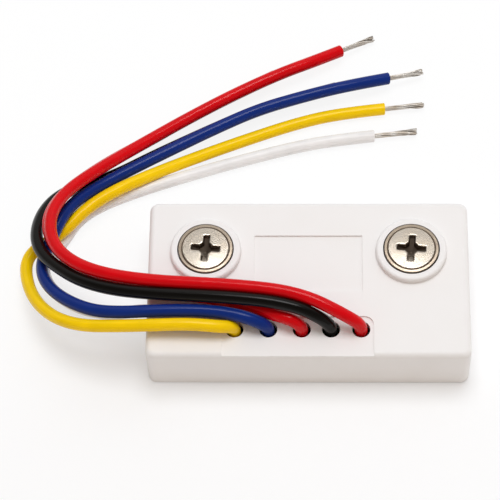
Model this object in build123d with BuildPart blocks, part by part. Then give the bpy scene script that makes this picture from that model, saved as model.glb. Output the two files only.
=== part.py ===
from build123d import *
import math
import os

# Addressable monitor module: a flat two-part housing, its captive cover screws, the circuit board
# inside it and the free lead wires that loop out of it. Millimetres, +Z up. The origin is under the
# middle of the housing and +X runs along its long side.

# housing cover
width = 70.0
depth = 38.0
height = 13.0
wall = 1.6
roof = 1.8
corner_radius = 2.0
top_edge_radius = 1.2
bottom_edge_radius = 0.4
roof_under = height - roof

# base plate, let into a ledge at the foot of the cover
base_thickness = 1.6
ledge_wall = 0.9
base_gap = 0.15

# label recess on top, between the screw bosses
label_boss_gap = 2.9
label_depth = 13.7
label_y = 3.65
recess_depth = 0.4

# lead panel, a recess that runs out at the front edge
panel_left = -18.6
panel_right = 14.1
panel_back = -9.3
panel_corner = 2.0

# leads
lead_diameter = 2.8
core_diameter = 1.2
lead_hole_gap = 0.55
lead_hole_y = -12.3
lead_hole_x = {"yellow": -15.9, "blue": -8.6, "red_a": -1.4, "black": 4.9, "red_b": 11.4}
side_lead_y = -5.0
side_lead_board_gap = 0.2
bare_length = {"yellow": 8.4, "blue": 7.6, "red_a": 8.0, "black": 8.0, "red_b": 7.9, "white": 9.2}

# screw bosses and counterbores
screw_inset = 12.55
screw_y = 6.4
boss_wall = 1.55
boss_height = 1.5
boss_edge_radius = 0.6
head_diameter = 11.8
head_height = 3.3
head_proud = 0.45
head_edge_radius = 0.9
head_gap = 0.3
seat_gap = 0.05
shaft_gap = 0.3
inner_boss_rim = 1.0
inner_boss_wall = 1.55

# M6 x 10 screws with a retaining groove; the ring overlaps the edge of the shaft hole
screw_diameter = 6.0
screw_chamfer = 0.6
groove_depth = 0.6
groove_gap = 0.05
ring_thickness = 0.7
ring_overlap = 1.45
ring_mouth = 3.6
cross_span = 6.3
cross_wing = 1.5
cross_depth = 2.3
cross_turn = -5.5
cross_taper = 9.0

# thread inserts in the base pillars
pillar_wall = 1.8
insert_wall = 1.15
insert_waist_depth = 0.3
insert_length = 4.0
insert_floor = 1.4
thread_gap = 0.05
tip_gap = 0.25
ring_rest_gap = 0.2

# circuit board
board_edge_gap = 0.6
board_z = 4.0
board_thickness = 1.6
board_corner = 1.0
board_pillar_gap = 0.5
board_screw_inset = 2.8
board_screw_diameter = 1.6
board_screw_head = 3.8
board_screw_head_height = 1.3
board_screw_cross = 2.09
board_screw_slot = 0.532
board_screw_clearance = 0.3
standoff_diameter = 4.6
core_hole_gap = 0.1

# inner ends of the leads and their solder joints
tail_strip_height = 1.0
core_tip_drop = 1.2
side_core_reach = 4.8
side_strip_reach = 3.0
core_overlap = 0.4
core_bend_radius = 1.0
joint_height = 0.9
joint_foot = 0.75
joint_taper = 35.0

# address switch
switch_x = 0.0
switch_inset = 5.5
switch_width = 21.9
switch_depth = 7.0
switch_height = 3.4
switch_corner = 0.4
switch_pitch = 2.54
switch_ways = 8
switch_pin_width = 0.6
switch_pin_reach = 0.8
switch_pin_thickness = 0.25
slider_width = 1.4
slider_length = 1.9
slider_depth = 1.1
slider_knob_length = 0.9
slider_knob_height = 0.5
slider_knob_radius = 0.2
slider_travel = 1.2
slider_gap = 0.1
slider_float = 0.05

# sizes and places worked out from the sizes above
boss_diameter = head_diameter + 2 * (head_gap + boss_wall)
inner_boss_diameter = head_diameter + 2 * (head_gap + inner_boss_rim)
head_under = height + boss_height + head_proud - head_height
counterbore_floor = head_under - seat_gap
inner_boss_under = counterbore_floor - inner_boss_wall
insert_bore = screw_diameter + 2 * thread_gap
insert_diameter = insert_bore + 2 * insert_wall
insert_waist = insert_diameter - 2 * insert_waist_depth
pillar_diameter = insert_diameter + 2 * pillar_wall
pillar_top = insert_floor + insert_length
screw_tip = insert_floor + tip_gap
screw_length = head_under - screw_tip
shaft_hole_diameter = screw_diameter + 2 * shaft_gap
groove_diameter = screw_diameter - 2 * groove_depth
ring_diameter = shaft_hole_diameter + 2 * ring_overlap
ring_floor = pillar_top + ring_rest_gap
lead_hole_diameter = lead_diameter + 2 * lead_hole_gap
board_top = board_z + board_thickness
board_room = roof_under - board_top
board_width = width - 2 * wall - 2 * board_edge_gap
board_depth = depth - 2 * wall - 2 * board_edge_gap
screw_x = width / 2 - screw_inset
screw_sides = {"left": -screw_x, "right": screw_x}
screw_places = [(x, screw_y) for x in screw_sides.values()]
label_width = 2 * (screw_x - boss_diameter / 2 - label_boss_gap)
switch_y = board_depth / 2 - switch_inset
board_screw_x = board_width / 2 - board_screw_inset
board_screw_y = board_depth / 2 - board_screw_inset
board_screw_places = [(x, y) for x in (-board_screw_x, board_screw_x) for y in (-board_screw_y, board_screw_y)]
top_lead_places = [(x, lead_hole_y) for x in lead_hole_x.values()]
side_wall_inner = -width / 2 + wall
side_lead_z = board_top + side_lead_board_gap + lead_diameter / 2
side_core_x = side_wall_inner + side_core_reach
core_places = top_lead_places + [(side_core_x, side_lead_y)]
ring_rise = inner_boss_under - ring_floor - ring_thickness
print("the rings and screws can rise", round(ring_rise, 3), "and a screw is long", round(screw_length, 3))

# moulded packages with feet: place on the board, body, foot width, reach and thickness, feet a side, pitch
chip_lift = 0.1
chip_chamfer = 0.12
chips = {
    "microcontroller": ((-2.0, -1.0), (12.8, 7.5, 2.4), (0.4, 1.3, 0.25), 10, 1.27),
    "bridge_rectifier": ((1.95 - screw_x, -7.5), (4.7, 3.9, 2.5), (0.6, 1.0, 0.3), 2, 2.5),
    "surge_suppressor": ((-2.05 - screw_x, 3.4 - board_depth / 2), (4.6, 3.6, 2.3), (2.0, 0.8, 0.3), 1, 2.0),
    "voltage_regulator": ((-12.6, -5.8), (6.5, 3.5, 1.7), (0.8, 1.7, 0.3), 3, 2.3),
}

# can, film box and crystal; the can and the box reach almost to the roof
can_place = (screw_x + 0.55, -5.6)
can_diameter = 6.3
can_roof_gap = 0.4
can_edge_radius = 0.416
can_foot_margin = 0.15
can_foot_height = 0.8
can_crimp_z = 1.2
can_crimp_height = 0.4
can_crimp_depth = 0.25
film_place = (screw_x - 9.85, -1.6)
film_size = (7.2, 4.5)
film_roof_gap = 0.7
film_side_radius = 0.5
film_top_radius = 0.4
crystal_place = (10.55 - screw_x, 2.2)
crystal_size = (5.0, 3.2)
crystal_base_height = 0.5
crystal_lid_margin = 0.25
crystal_lid_height = 0.6
crystal_lid_corner = 0.4

# chip resistors and ceramic capacitors: place of each grid, its pitch and its counts
chip_size = (2.0, 1.25)
chip_pitch = (3.0, 2.4)
resistor_height = 0.5
resistor_grids = [((screw_x - 1.25, 3.6 - board_depth / 2), 4, 2), ((-screw_x - 1.55, board_depth / 2 - 2.2), 3, 1)]
ceramic_height = 0.9
ceramic_row = (screw_x + 1.55, board_depth / 2 - 2.2)
ceramic_column = (6.9, -1.2)
ceramic_column_pitch = 2.9

# Free leads: each route starts inside its hole, runs through the loop and ends at the strip.
lead_routes = {
    "yellow": [
        (-15.9, -12.3, 11.2), (-15.9, -12.3, 13.2), (-17.0, -12.8, 14.9), (-19.1, -13.2, 15.7),
        (-22.5, -13.0, 16.1), (-27.4, -12.8, 16.1), (-33.9, -12.9, 15.8), (-40.8, -12.7, 15.0),
        (-48.3, -11.7, 13.0), (-54.1, -9.0, 10.6), (-58.3, -4.9, 8.0), (-61.2, 0.1, 5.5),
        (-62.8, 5.4, 3.4), (-63.1, 9.6, 2.2), (-62.1, 12.7, 1.6), (-60.1, 15.0, 1.6),
        (-57.3, 16.3, 2.2), (-54.0, 18.1, 3.3), (-50.1, 22.0, 4.0), (-44.5, 26.6, 3.6),
        (-35.7, 32.4, 2.4), (-25.8, 37.5, 1.6), (-14.9, 41.7, 1.45), (-2.9, 46.3, 1.45),
        (7.3, 49.0, 1.45), (17.5, 50.2, 1.45),
    ],
    "blue": [
        (-8.6, -12.3, 11.2), (-8.6, -12.3, 13.2), (-9.7, -12.2, 14.9), (-11.9, -11.7, 16.0),
        (-15.0, -10.8, 16.4), (-19.8, -9.9, 16.4), (-25.8, -9.6, 16.4), (-33.1, -9.7, 16.3),
        (-40.4, -9.9, 15.9), (-46.2, -9.0, 14.9), (-51.4, -6.1, 13.0), (-55.7, -2.2, 10.8),
        (-58.6, 2.4, 8.6), (-59.8, 6.9, 6.8), (-59.4, 11.0, 5.9), (-58.2, 14.4, 5.7),
        (-56.4, 18.1, 5.5), (-54.2, 21.7, 5.2), (-51.2, 25.4, 4.8), (-46.4, 29.4, 4.4),
        (-38.8, 33.9, 4.4), (-29.3, 39.1, 4.4), (-20.3, 43.8, 4.4), (-11.7, 48.2, 4.4),
        (-2.5, 51.4, 4.4), (8.3, 54.6, 4.4), (18.5, 57.5, 3.1),
    ],
    "red_a": [
        (-1.4, -12.3, 11.2), (-1.4, -12.3, 13.2), (-2.3, -12.0, 15.0), (-4.0, -11.4, 15.8),
        (-7.5, -10.1, 15.4), (-11.8, -8.1, 14.8), (-18.6, -6.1, 14.6), (-26.0, -5.0, 14.6),
        (-33.8, -3.6, 14.5), (-42.6, -1.3, 14.0), (-49.2, 2.3, 12.8), (-53.8, 6.4, 11.2),
        (-56.5, 10.5, 9.9), (-57.5, 14.6, 8.9), (-57.5, 18.6, 8.2), (-56.1, 22.6, 7.4),
        (-53.9, 26.1, 6.4), (-50.6, 29.7, 5.3), (-45.3, 34.9, 3.6), (-37.3, 40.9, 2.2),
        (-27.7, 47.8, 1.45), (-17.1, 54.3, 1.45), (-7.9, 59.3, 1.45),
    ],
    "black": [
        (4.9, -12.3, 11.2), (4.9, -12.3, 13.2), (4.1, -11.9, 15.0), (1.9, -11.3, 16.6),
        (-1.8, -10.0, 17.8), (-7.7, -8.7, 18.3), (-15.5, -7.7, 18.1), (-24.5, -7.0, 17.7),
        (-34.0, -6.2, 17.3), (-42.7, -4.7, 16.7), (-49.7, -1.7, 15.1), (-54.9, 2.8, 12.8),
        (-58.7, 7.1, 10.6), (-60.6, 11.6, 8.6), (-61.1, 16.1, 6.6), (-60.6, 20.3, 4.8),
        (-59.2, 23.8, 3.2), (-57.1, 26.5, 2.0), (-54.3, 28.6, 1.45), (-50.9, 29.8, 1.45),
        (-47.1, 31.3, 1.45), (-42.6, 33.4, 1.45), (-36.3, 37.1, 1.45), (-28.6, 41.3, 1.45),
        (-20.5, 45.6, 1.45), (-11.7, 50.0, 1.45), (-2.5, 53.2, 1.45), (6.3, 55.9, 1.45),
    ],
    "red_b": [
        (11.4, -12.3, 11.2), (11.4, -12.3, 13.2), (10.7, -12.0, 15.1), (8.7, -11.6, 16.9),
        (5.5, -10.3, 18.2), (0.8, -8.1, 18.9), (-5.6, -6.2, 19.1), (-14.6, -5.0, 18.9),
        (-24.1, -4.2, 18.6), (-33.6, -3.4, 18.2), (-42.3, -1.8, 17.6), (-48.8, 0.8, 16.5),
        (-53.4, 4.5, 15.0), (-56.0, 8.5, 13.7), (-57.0, 12.5, 12.7), (-57.0, 16.5, 11.8),
        (-55.7, 20.5, 10.9), (-53.5, 24.1, 9.8), (-50.3, 27.7, 8.6), (-44.9, 32.8, 6.9),
        (-37.1, 39.1, 5.3), (-27.5, 46.0, 4.5), (-17.0, 52.5, 4.4), (-6.7, 58.0, 4.4),
        (1.7, 62.0, 3.8), (7.5, 65.3, 2.8),
    ],
    "white": [
        (-33.4, -5.0, 7.2), (-36.4, -5.0, 7.2), (-39.2, -4.8, 6.1), (-42.4, -4.0, 3.8),
        (-46.0, -2.9, 2.0), (-50.6, -1.5, 1.45), (-55.0, 1.1, 1.45), (-57.9, 4.1, 1.45),
        (-59.3, 7.4, 1.45), (-59.0, 10.6, 1.45), (-57.3, 13.0, 1.45), (-54.5, 14.7, 1.45),
        (-51.3, 17.8, 1.45), (-47.1, 22.2, 1.45), (-40.1, 26.8, 1.45), (-28.9, 31.7, 1.45),
        (-15.7, 36.3, 1.45), (-1.5, 40.4, 1.45), (7.6, 42.0, 1.45), (15.0, 42.9, 1.45),
    ],
}

os.makedirs("parts", exist_ok=True)


def corner_radii(route):
    """Arc radius at each inner point: 0.45 of the shorter run over the tangent of half the turn."""
    points = [Vector(*point) for point in route]
    runs = [after - before for before, after in zip(points, points[1:])]
    radii = []
    for before, after in zip(runs, runs[1:]):
        half_turn = math.radians(before.get_angle(after)) / 2
        radii.append(0.45 * min(before.length, after.length) / math.tan(half_turn))
    return radii


# housing cover: box shell with a ledge for the base plate
with BuildPart() as housing_cover:
    with BuildSketch():
        RectangleRounded(width, depth, corner_radius)
    extrude(amount=height)
    fillet(housing_cover.faces().sort_by(Axis.Z)[-1].edges(), top_edge_radius)
    fillet(housing_cover.faces().sort_by(Axis.Z)[0].edges(), bottom_edge_radius)
    with BuildSketch(Plane.XY.offset(height - top_edge_radius)):
        with Locations(screw_places):
            Circle(boss_diameter / 2)
    extrude(amount=top_edge_radius + boss_height)
    fillet(housing_cover.faces().group_by(Axis.Z)[-1].edges(), boss_edge_radius)
    with BuildSketch(Plane.XY.offset(base_thickness)):
        RectangleRounded(width - 2 * wall, depth - 2 * wall, corner_radius - ledge_wall)
    extrude(amount=roof_under - base_thickness, mode=Mode.SUBTRACT)
    with BuildSketch():
        RectangleRounded(width - 2 * ledge_wall, depth - 2 * ledge_wall, corner_radius - ledge_wall)
    extrude(amount=base_thickness, mode=Mode.SUBTRACT)
    with BuildSketch(Plane.XY.offset(inner_boss_under)):
        with Locations(screw_places):
            Circle(inner_boss_diameter / 2)
    extrude(amount=roof_under - inner_boss_under)
    with BuildSketch(Plane.XY.offset(counterbore_floor)):
        with Locations(screw_places):
            Circle(head_diameter / 2 + head_gap)
    extrude(amount=height, mode=Mode.SUBTRACT)
    with BuildSketch(Plane.XY.offset(inner_boss_under)):
        with Locations(screw_places):
            Circle(shaft_hole_diameter / 2)
    extrude(amount=inner_boss_wall, mode=Mode.SUBTRACT)
    with BuildSketch(Plane.XY.offset(height - recess_depth)):
        with Locations((0, label_y)):
            Rectangle(label_width, label_depth)
    extrude(amount=recess_depth, mode=Mode.SUBTRACT)
    with BuildSketch(Plane.XY.offset(height - recess_depth)) as lead_panel:
        with Locations(((panel_left + panel_right) / 2, panel_back)):
            Rectangle(panel_right - panel_left, depth, align=(Align.CENTER, Align.MAX))
        fillet(lead_panel.vertices().group_by(Axis.Y)[-1], panel_corner)
    extrude(amount=recess_depth, mode=Mode.SUBTRACT)
    with BuildSketch(Plane.XY.offset(roof_under)):
        with Locations(top_lead_places):
            Circle(lead_hole_diameter / 2)
    extrude(amount=roof, mode=Mode.SUBTRACT)
    with BuildSketch(Plane.YZ.offset(side_wall_inner)):
        with Locations((side_lead_y, side_lead_z)):
            Circle(lead_hole_diameter / 2)
    extrude(amount=-wall, mode=Mode.SUBTRACT)
housing_cover.part.label = "housing_cover"
export_step(housing_cover.part, "parts/housing_cover.step")

# base plate with the two screw pillars and the four board standoffs
with BuildPart() as base_plate:
    with BuildSketch():
        RectangleRounded(
            width - 2 * ledge_wall - 2 * base_gap,
            depth - 2 * ledge_wall - 2 * base_gap,
            corner_radius - ledge_wall - base_gap,
        )
    extrude(amount=base_thickness)
    with BuildSketch(Plane.XY.offset(base_thickness)):
        with Locations(screw_places):
            Circle(pillar_diameter / 2)
    extrude(amount=pillar_top - base_thickness)
    with BuildSketch(Plane.XY.offset(base_thickness)):
        with Locations(board_screw_places):
            Circle(standoff_diameter / 2)
    extrude(amount=board_z - base_thickness)
    with BuildSketch(Plane.XY.offset(insert_floor)):
        with Locations(screw_places):
            Circle(insert_diameter / 2)
    extrude(amount=pillar_top - insert_floor, mode=Mode.SUBTRACT)
    with BuildSketch(Plane.XY.offset(base_thickness)):
        with Locations(board_screw_places):
            Circle(board_screw_diameter / 2)
    extrude(amount=board_z - base_thickness, mode=Mode.SUBTRACT)
base_plate.part.label = "base_plate"
export_step(base_plate.part, "parts/base_plate.step")

for side, axis_x in screw_sides.items():
    axis_foot = Plane((axis_x, screw_y, 0))

    # pan-head screw: head, threaded shank with a retaining groove, cross recess
    with BuildPart() as cover_screw:
        with BuildSketch(axis_foot.offset(head_under)):
            Circle(head_diameter / 2)
        extrude(amount=head_height)
        fillet(cover_screw.faces().sort_by(Axis.Z)[-1].edges(), head_edge_radius)
        with BuildSketch(axis_foot.offset(screw_tip)):
            Circle(screw_diameter / 2)
        extrude(amount=screw_length)
        chamfer(cover_screw.faces().sort_by(Axis.Z)[0].edges(), screw_chamfer)
        with BuildSketch(axis_foot.offset(ring_floor - groove_gap)):
            Circle(screw_diameter / 2)
            Circle(groove_diameter / 2, mode=Mode.SUBTRACT)
        extrude(amount=ring_thickness + 2 * groove_gap, mode=Mode.SUBTRACT)
        with BuildSketch(axis_foot.offset(head_under + head_height)):
            Rectangle(cross_span, cross_wing, rotation=cross_turn)
            Rectangle(cross_wing, cross_span, rotation=cross_turn)
            Rectangle(2 * cross_wing, 2 * cross_wing, rotation=cross_turn + 45)
        extrude(amount=-cross_depth, taper=cross_taper, mode=Mode.SUBTRACT)
    cover_screw.part.label = f"cover_screw_{side}"
    export_step(cover_screw.part, f"parts/cover_screw_{side}.step")

    # open retaining ring, snapped in the groove of the screw
    with BuildPart() as captive_ring:
        with BuildSketch(axis_foot.offset(ring_floor)):
            Circle(ring_diameter / 2)
            Circle(groove_diameter / 2 + groove_gap, mode=Mode.SUBTRACT)
            Rectangle(ring_mouth, ring_diameter, align=(Align.CENTER, Align.MAX), mode=Mode.SUBTRACT)
        extrude(amount=ring_thickness)
    captive_ring.part.label = f"captive_ring_{side}"
    export_step(captive_ring.part, f"parts/captive_ring_{side}.step")

    # brass thread insert with a waist between its two gripping bands
    with BuildPart() as thread_insert:
        with BuildSketch(axis_foot.offset(insert_floor)):
            Circle(insert_diameter / 2)
        extrude(amount=pillar_top - insert_floor)
        with BuildSketch(axis_foot.offset((insert_floor + pillar_top) / 2)):
            Circle(insert_diameter / 2)
            Circle(insert_waist / 2, mode=Mode.SUBTRACT)
        extrude(amount=(pillar_top - insert_floor) / 8, both=True, mode=Mode.SUBTRACT)
        with BuildSketch(axis_foot.offset(insert_floor)):
            Circle(insert_bore / 2)
        extrude(amount=pillar_top - insert_floor, mode=Mode.SUBTRACT)
    thread_insert.part.label = f"thread_insert_{side}"
    export_step(thread_insert.part, f"parts/thread_insert_{side}.step")

# circuit board, cut out round the pillars
with BuildPart() as circuit_board:
    with BuildSketch(Plane.XY.offset(board_z)):
        RectangleRounded(board_width, board_depth, board_corner)
        with Locations(screw_places):
            Circle(pillar_diameter / 2 + board_pillar_gap, mode=Mode.SUBTRACT)
        with Locations(board_screw_places):
            Circle(board_screw_diameter / 2 + board_screw_clearance, mode=Mode.SUBTRACT)
        with Locations(core_places):
            Circle(core_diameter / 2 + core_hole_gap, mode=Mode.SUBTRACT)
    extrude(amount=board_thickness)
circuit_board.part.label = "circuit_board"
export_step(circuit_board.part, "parts/circuit_board.step")

# four self-tapping board screws
with BuildPart() as board_screws:
    with BuildSketch(Plane.XY.offset(board_top)):
        with Locations(board_screw_places):
            Circle(board_screw_head / 2)
    extrude(amount=board_screw_head_height)
    fillet(board_screws.faces().group_by(Axis.Z)[-1].edges(), board_screw_head_height / 3)
    with BuildSketch(Plane.XY.offset(base_thickness + board_screw_clearance)):
        with Locations(board_screw_places):
            Circle(board_screw_diameter / 2)
    extrude(amount=board_top - base_thickness - board_screw_clearance)
    with BuildSketch(Plane.XY.offset(board_top + board_screw_head_height)):
        with Locations(board_screw_places):
            Rectangle(board_screw_cross, board_screw_slot)
            Rectangle(board_screw_slot, board_screw_cross)
    extrude(amount=-board_screw_head_height / 2, mode=Mode.SUBTRACT)
board_screws.part.label = "board_screws"
export_step(board_screws.part, "parts/board_screws.step")


def build_chip(place, body_size, foot_size, feet, foot_pitch):
    """Moulded package with flat feet along both long sides; the feet stand on the board."""
    body_x, body_y, body_z = body_size
    foot_width, foot_reach, foot_thickness = foot_size
    foot = Plane((place[0], place[1], board_top))
    with BuildPart() as chip:
        with BuildSketch(foot.offset(chip_lift)):
            Rectangle(body_x, body_y)
        extrude(amount=body_z - chip_lift)
        chamfer(chip.faces().sort_by(Axis.Z)[-1].edges(), body_z * chip_chamfer)
        with BuildSketch(foot):
            with GridLocations(foot_pitch, 0, feet, 1):
                Rectangle(foot_width, body_y + 2 * foot_reach)
        extrude(amount=chip_lift + foot_thickness)
    return chip.part


for name, sizes in chips.items():
    package = build_chip(*sizes)
    package.label = name
    export_step(package, f"parts/{name}.step")

# smoothing capacitor: aluminium can with a crimp line on a square foot
can_foot = Plane((can_place[0], can_place[1], board_top))
with BuildPart() as smoothing_capacitor:
    with BuildSketch(can_foot):
        Rectangle(can_diameter + 2 * can_foot_margin, can_diameter + 2 * can_foot_margin)
    extrude(amount=can_foot_height)
    with BuildSketch(can_foot):
        Circle(can_diameter / 2)
    extrude(amount=board_room - can_roof_gap)
    fillet(smoothing_capacitor.faces().sort_by(Axis.Z)[-1].edges(), can_edge_radius)
    with BuildSketch(can_foot.offset(can_crimp_z)):
        Circle(can_diameter / 2)
        Circle(can_diameter / 2 - can_crimp_depth, mode=Mode.SUBTRACT)
    extrude(amount=can_crimp_height, mode=Mode.SUBTRACT)
smoothing_capacitor.part.label = "smoothing_capacitor"
export_step(smoothing_capacitor.part, "parts/smoothing_capacitor.step")

# film capacitor: small moulded box
with BuildPart() as film_capacitor:
    with BuildSketch(Plane((film_place[0], film_place[1], board_top))):
        Rectangle(*film_size)
    extrude(amount=board_room - film_roof_gap)
    fillet(film_capacitor.edges().filter_by(Axis.Z), film_side_radius)
    fillet(film_capacitor.faces().sort_by(Axis.Z)[-1].edges(), film_top_radius)
film_capacitor.part.label = "film_capacitor"
export_step(film_capacitor.part, "parts/film_capacitor.step")

# crystal: metal lid on a ceramic base
crystal_foot = Plane((crystal_place[0], crystal_place[1], board_top))
with BuildPart() as crystal:
    with BuildSketch(crystal_foot):
        Rectangle(*crystal_size)
    extrude(amount=crystal_base_height)
    with BuildSketch(crystal_foot.offset(crystal_base_height)):
        RectangleRounded(
            crystal_size[0] - 2 * crystal_lid_margin,
            crystal_size[1] - 2 * crystal_lid_margin,
            crystal_lid_corner,
        )
    extrude(amount=crystal_lid_height)
crystal.part.label = "crystal"
export_step(crystal.part, "parts/crystal.step")

# chip resistors and ceramic capacitors stand flat on the board
with BuildPart() as resistors:
    for place, columns, rows in resistor_grids:
        with BuildSketch(Plane((place[0], place[1], board_top))):
            with GridLocations(*chip_pitch, columns, rows):
                Rectangle(*chip_size)
        extrude(amount=resistor_height)
resistors.part.label = "resistors"
export_step(resistors.part, "parts/resistors.step")

with BuildPart() as ceramic_capacitors:
    with BuildSketch(Plane((ceramic_column[0], ceramic_column[1], board_top))):
        with GridLocations(0, ceramic_column_pitch, 1, 3):
            Rectangle(chip_size[1], chip_size[0])
    extrude(amount=ceramic_height)
    with BuildSketch(Plane((ceramic_row[0], ceramic_row[1], board_top))):
        with GridLocations(*chip_pitch, 3, 1):
            Rectangle(*chip_size)
    extrude(amount=ceramic_height)
ceramic_capacitors.part.label = "ceramic_capacitors"
export_step(ceramic_capacitors.part, "parts/ceramic_capacitors.step")

# eight-way address switch: body with one slot for each slider
slot_width = slider_width + 2 * slider_gap
slot_length = slider_length + slider_travel + 2 * slider_gap
slot_floor = board_top + switch_height - slider_depth - slider_float
slider_rest_y = switch_y - slider_travel / 2
switch_place = Plane((switch_x, switch_y, board_top))
with BuildPart() as address_switch_body:
    with BuildSketch(switch_place.offset(chip_lift)):
        Rectangle(switch_width, switch_depth)
    extrude(amount=switch_height - chip_lift)
    fillet(address_switch_body.edges().filter_by(Axis.Z), switch_corner)
    with BuildSketch(switch_place):
        with GridLocations(switch_pitch, 0, switch_ways, 1):
            Rectangle(switch_pin_width, switch_depth + 2 * switch_pin_reach)
    extrude(amount=chip_lift + switch_pin_thickness)
    with BuildSketch(Plane((switch_x, switch_y, slot_floor))):
        with GridLocations(switch_pitch, 0, switch_ways, 1):
            Rectangle(slot_width, slot_length)
    extrude(amount=switch_height, mode=Mode.SUBTRACT)
address_switch_body.part.label = "address_switch_body"
export_step(address_switch_body.part, "parts/address_switch_body.step")

# sliders rest at the front ends of their slots and move to the back
for way in range(switch_ways):
    slider_x = switch_x + (way - (switch_ways - 1) / 2) * switch_pitch
    slider_place = Plane((slider_x, slider_rest_y, slot_floor + slider_float))
    with BuildPart() as address_slider:
        with BuildSketch(slider_place):
            Rectangle(slider_width, slider_length)
        extrude(amount=slider_depth)
        with BuildSketch(slider_place.offset(slider_depth)):
            Rectangle(slider_width, slider_knob_length)
        extrude(amount=slider_knob_height)
        fillet(address_slider.faces().sort_by(Axis.Z)[-1].edges().filter_by(Axis.X), slider_knob_radius)
    address_slider.part.label = f"address_slider_{way + 1}"
    export_step(address_slider.part, f"parts/address_slider_{way + 1}.step")

# inner ends of the leads: insulation from the wall to just over the board, then the bare core
tail_strip_z = board_top + tail_strip_height
core_tip_z = board_z - core_tip_drop
for colour, lead_x in lead_hole_x.items():
    with BuildPart() as lead_tail:
        with BuildSketch(Plane((lead_x, lead_hole_y, tail_strip_z))):
            Circle(lead_diameter / 2)
        extrude(amount=roof_under - tail_strip_z)
        with BuildSketch(Plane((lead_x, lead_hole_y, core_tip_z))):
            Circle(core_diameter / 2)
        extrude(amount=tail_strip_z - core_tip_z)
    lead_tail.part.label = f"lead_{colour}_tail"
    export_step(lead_tail.part, f"parts/lead_{colour}_tail.step")

side_strip_x = side_wall_inner + side_strip_reach
core_start = (side_strip_x - core_overlap, side_lead_y, side_lead_z)
with BuildPart() as side_tail:
    with BuildSketch(Plane((side_wall_inner, side_lead_y, side_lead_z), z_dir=(1, 0, 0))):
        Circle(lead_diameter / 2)
    extrude(amount=side_strip_x - side_wall_inner)
    with BuildLine():
        FilletPolyline(
            core_start,
            (side_core_x, side_lead_y, side_lead_z),
            (side_core_x, side_lead_y, core_tip_z),
            radius=core_bend_radius,
        )
    with BuildSketch(Plane(core_start, z_dir=(1, 0, 0))):
        Circle(core_diameter / 2)
    sweep()
side_tail.part.label = "lead_white_tail"
export_step(side_tail.part, "parts/lead_white_tail.step")

# solder joints: small cones round the cores under the board
with BuildPart() as lead_solder_joints:
    with BuildSketch(Plane.XY.offset(board_z)):
        with Locations(core_places):
            Circle(core_diameter / 2 + joint_foot)
    extrude(amount=-joint_height, taper=joint_taper)
    with BuildSketch(Plane.XY.offset(board_z)):
        with Locations(core_places):
            Circle(core_diameter / 2)
    extrude(amount=-joint_height, mode=Mode.SUBTRACT)
lead_solder_joints.part.label = "lead_solder_joints"
export_step(lead_solder_joints.part, "parts/lead_solder_joints.step")

for colour, route in lead_routes.items():
    radii = corner_radii(route)
    print(colour, "radii", [round(radius, 1) for radius in radii])

    # free lead: straight runs joined by tangent arcs
    with BuildPart() as lead:
        with BuildLine() as path:
            FilletPolyline(*route, radius=radii)
        centreline = path.wires()[0]
        with BuildSketch(Plane(route[0], z_dir=centreline % 0)):
            Circle(lead_diameter / 2)
        sweep()
    full_volume = math.pi * lead_diameter**2 / 4 * centreline.length
    print(colour, "length", round(centreline.length, 1), "volume ratio", round(lead.part.volume / full_volume, 4))
    lead.part.label = f"lead_{colour}"
    export_step(lead.part, f"parts/lead_{colour}.step")

    # stripped strands, carried on in the direction of the last run
    with BuildPart() as conductor:
        with BuildSketch(Plane(route[-1], z_dir=centreline % 1)):
            Circle(core_diameter / 2)
        extrude(amount=bare_length[colour])
    conductor.part.label = f"lead_{colour}_conductor"
    export_step(conductor.part, f"parts/lead_{colour}_conductor.step")
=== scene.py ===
import bpy
import math
import numpy as np
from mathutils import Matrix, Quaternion, Vector


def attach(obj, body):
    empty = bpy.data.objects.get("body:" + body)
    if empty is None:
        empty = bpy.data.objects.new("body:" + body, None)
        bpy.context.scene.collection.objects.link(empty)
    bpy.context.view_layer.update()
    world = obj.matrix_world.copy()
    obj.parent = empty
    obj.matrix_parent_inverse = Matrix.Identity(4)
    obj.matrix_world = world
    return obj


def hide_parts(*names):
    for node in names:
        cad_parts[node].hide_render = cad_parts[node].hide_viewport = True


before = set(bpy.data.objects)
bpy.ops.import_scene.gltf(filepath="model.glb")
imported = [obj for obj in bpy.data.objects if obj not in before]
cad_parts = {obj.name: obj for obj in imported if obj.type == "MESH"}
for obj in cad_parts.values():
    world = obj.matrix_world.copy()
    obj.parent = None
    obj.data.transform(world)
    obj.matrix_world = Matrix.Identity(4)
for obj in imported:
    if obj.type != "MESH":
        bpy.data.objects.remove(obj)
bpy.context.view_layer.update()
mm = 0.001
print("frame loaded:", len(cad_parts), "nodes")

# The photograph's camera looks down at aim from this far away, rolled a little about its line of sight.
cameraView = {
    "azimuth": 3.27,  # degrees
    "elevation": 61.5,
    "roll": -2.9,
    "distance": 542.95 * mm,
    "aim": (-12.77 * mm, 6.91 * mm, 13.0 * mm),
    "lens": 178.65,
    "sensor": 36.0,
    "clip": (0.01, 50.0),
}


def skyDirection(azimuth, elevation):
    # unit vector: sine and cosine of the azimuth times the cosine of the elevation, and its sine upwards
    turn = math.radians(azimuth)
    rise = math.radians(elevation)
    return Vector((math.sin(turn) * math.cos(rise), -math.cos(turn) * math.cos(rise), math.sin(rise)))


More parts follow.
